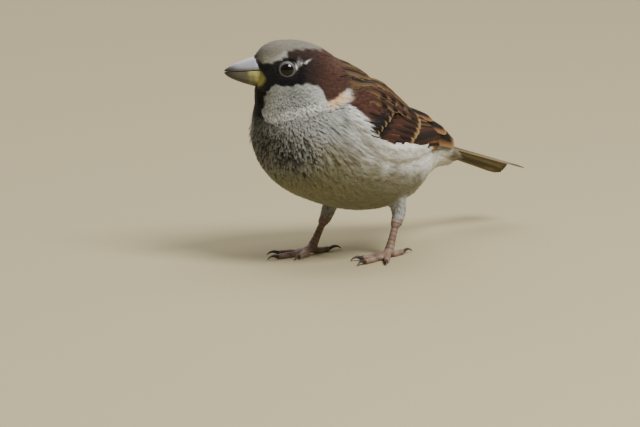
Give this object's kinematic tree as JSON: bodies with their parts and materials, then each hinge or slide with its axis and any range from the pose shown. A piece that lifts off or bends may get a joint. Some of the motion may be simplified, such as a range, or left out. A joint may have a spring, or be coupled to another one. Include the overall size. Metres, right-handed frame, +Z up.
{
  "type": "house sparrow",
  "caption": "Life-size still model of a male house sparrow standing on both feet, head turned to its right, grey crown, chestnut nape and black bib.",
  "frame": {"origin": "on the floor, at the middle of the underside of the whole bird's box", "axes": "+Z up, -Y the way the body faces, +X to the bird's left"},
  "size_m": [0.0484, 0.1228, 0.0749],
  "materials": {
    "plumage": "soft overlapping body feathers, matte, grey, chestnut, black and off-white markings",
    "flight_feathers": "firm vanes of wing and tail, low sheen, dark brown with rufous and buff edges",
    "bill": "horn, satin, blue-grey above, yellow at the base below",
    "eye": "wet gloss, very dark brown",
    "leg_skin": "scaly bare skin, pinkish brown, satin",
    "claw": "horn, satin, dark"
  },
  "bodies": {
    "root": {"head": "plumage", "neck": "plumage", "trunk": "plumage", "tail": "flight_feathers", "bill_upper": "bill", "bill_lower": "bill", "eye_left": "eye", "wing_left": "flight_feathers", "primaries_left": "flight_feathers", "tibia_left": "plumage", "tarsus_left": "leg_skin", "toe_left_1": "leg_skin", "claw_left_1": "claw", "toe_left_2": "leg_skin", "claw_left_2": "claw", "toe_left_3": "leg_skin", "claw_left_3": "claw", "toe_left_4": "leg_skin", "claw_left_4": "claw", "eye_right": "eye", "wing_right": "flight_feathers", "primaries_right": "flight_feathers", "tibia_right": "plumage", "tarsus_right": "leg_skin", "toe_right_1": "leg_skin", "claw_right_1": "claw", "toe_right_2": "leg_skin", "claw_right_2": "claw", "toe_right_3": "leg_skin", "claw_right_3": "claw", "toe_right_4": "leg_skin", "claw_right_4": "claw"}
  },
  "joints": []
}
